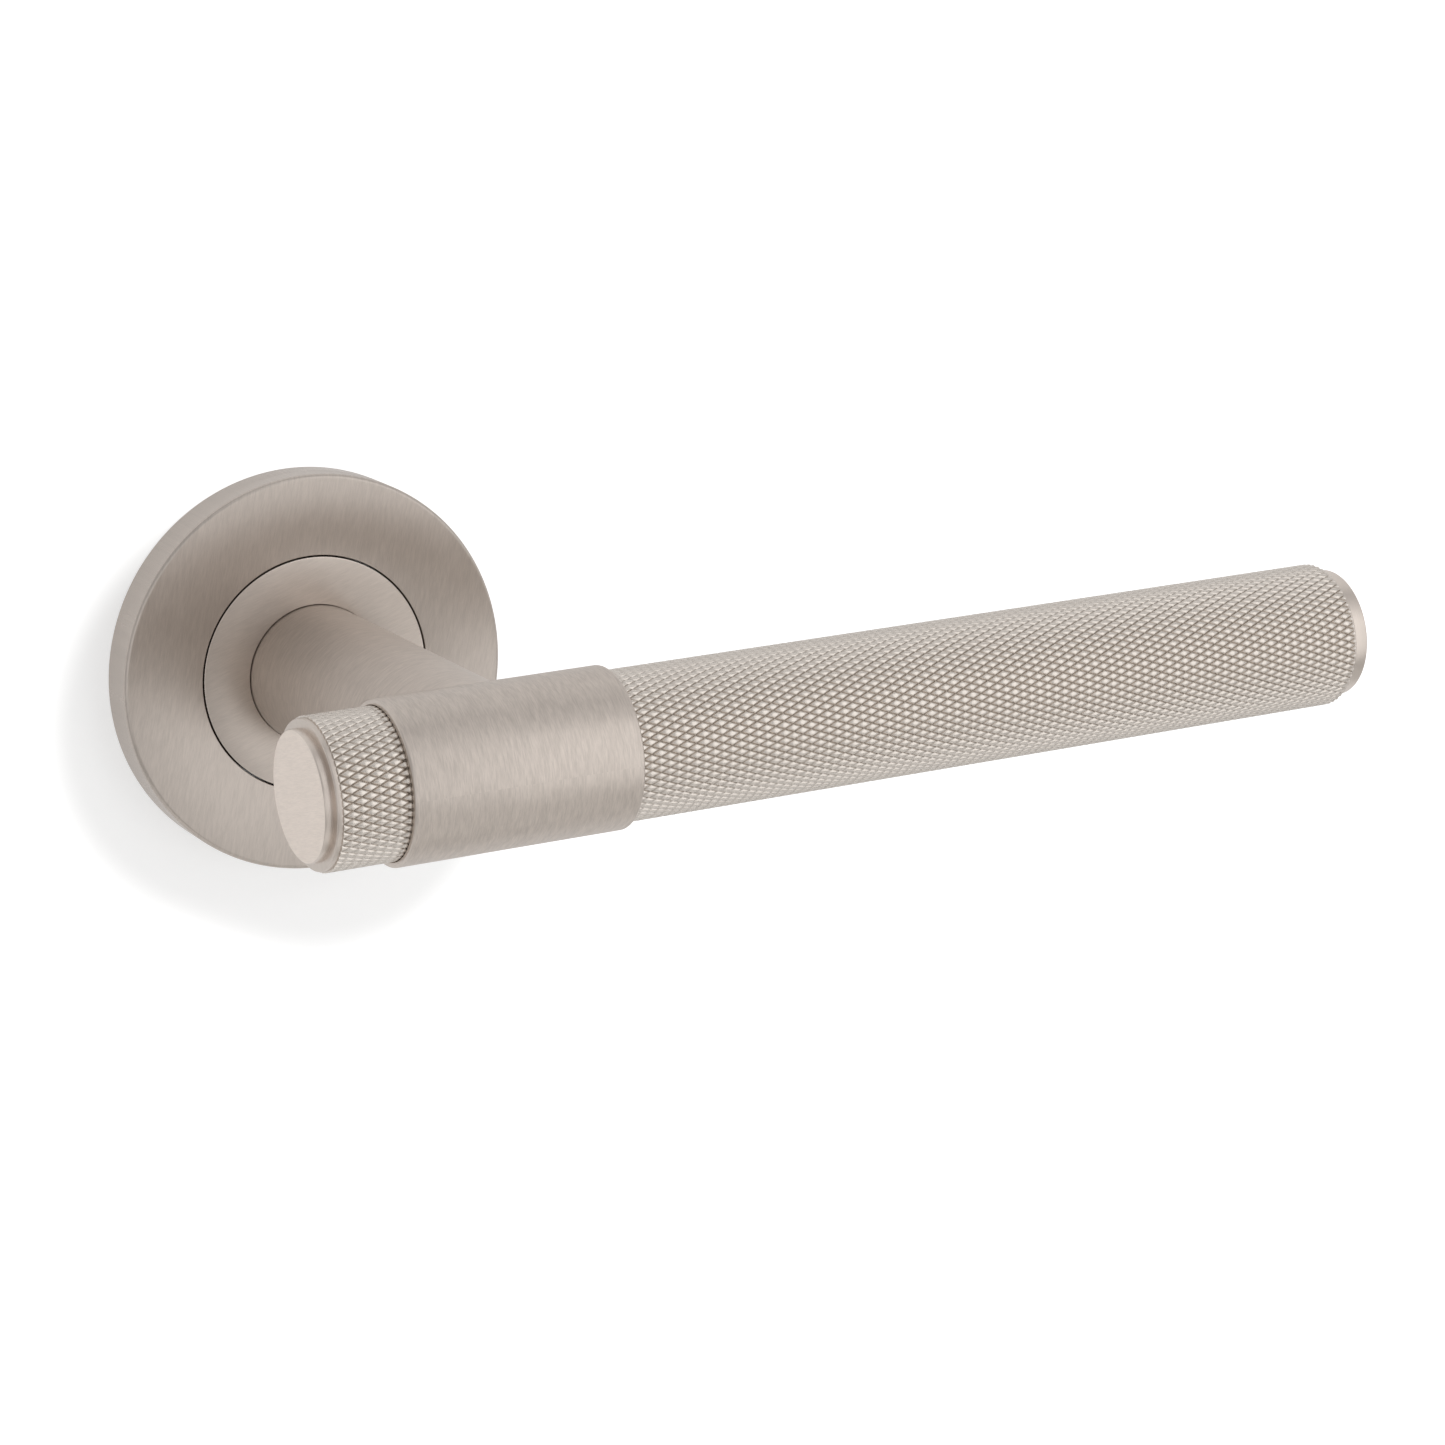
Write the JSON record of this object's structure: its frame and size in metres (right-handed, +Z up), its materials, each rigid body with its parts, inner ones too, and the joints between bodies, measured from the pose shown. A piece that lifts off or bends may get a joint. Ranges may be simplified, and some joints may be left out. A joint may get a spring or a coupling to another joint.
{
  "type": "door lever handle",
  "caption": "Sprung door lever on a round rose: plain neck, collar and a diamond-knurled bar grip with plain end plugs, on a square spindle.",
  "frame": {"origin": "centre of the rose on the face of the door, on the lever's turning axis", "axes": "+Z up, -Y out of the door towards the hand, +Y into the door, +X along the long end of the grip"},
  "size_m": [0.1465, 0.125, 0.052],
  "materials": {
    "satin_nickel": "satin, brushed, warm nickel plate",
    "knurled_nickel": "diamond knurled, satin nickel plate",
    "zinc_steel": "zinc plated, slightly dull",
    "spring_steel": "dark, lightly oiled",
    "black_steel": "black oxide",
    "bronze": "sintered bronze, matte",
    "nylon": "natural nylon, matte"
  },
  "bodies": {
    "rose": {"rose_cover": "satin_nickel", "cover_snap_ring": "spring_steel", "base_plate": "zinc_steel", "fixing_bolts": "zinc_steel", "wood_screws": "zinc_steel", "pivot_bush": "bronze", "thrust_ring": "nylon", "stop_pins": "zinc_steel", "return_spring": "spring_steel", "spring_washer": "spring_steel"},
    "lever": {"centre_disc": "satin_nickel", "neck": "satin_nickel", "driver_plate": "zinc_steel", "retaining_ring": "spring_steel", "square_spindle": "zinc_steel", "spindle_grub_screw": "black_steel", "collar": "satin_nickel", "grip_tube": "knurled_nickel", "grip_core": "zinc_steel", "joining_stud": "zinc_steel", "locating_pins": "zinc_steel", "near_end_plug": "satin_nickel", "far_end_plug": "satin_nickel"}
  },
  "joints": [
    {"name": "lever_turn", "type": "hinge", "parent": "rose", "child": "lever", "pos_m": [0, 0, 0], "axis": [0, 1, 0], "range_deg": [-45, 45], "stiffness_Nm_per_rad": 2.2, "springref_deg": -1.89, "deforming": ["return_spring"]}
  ]
}
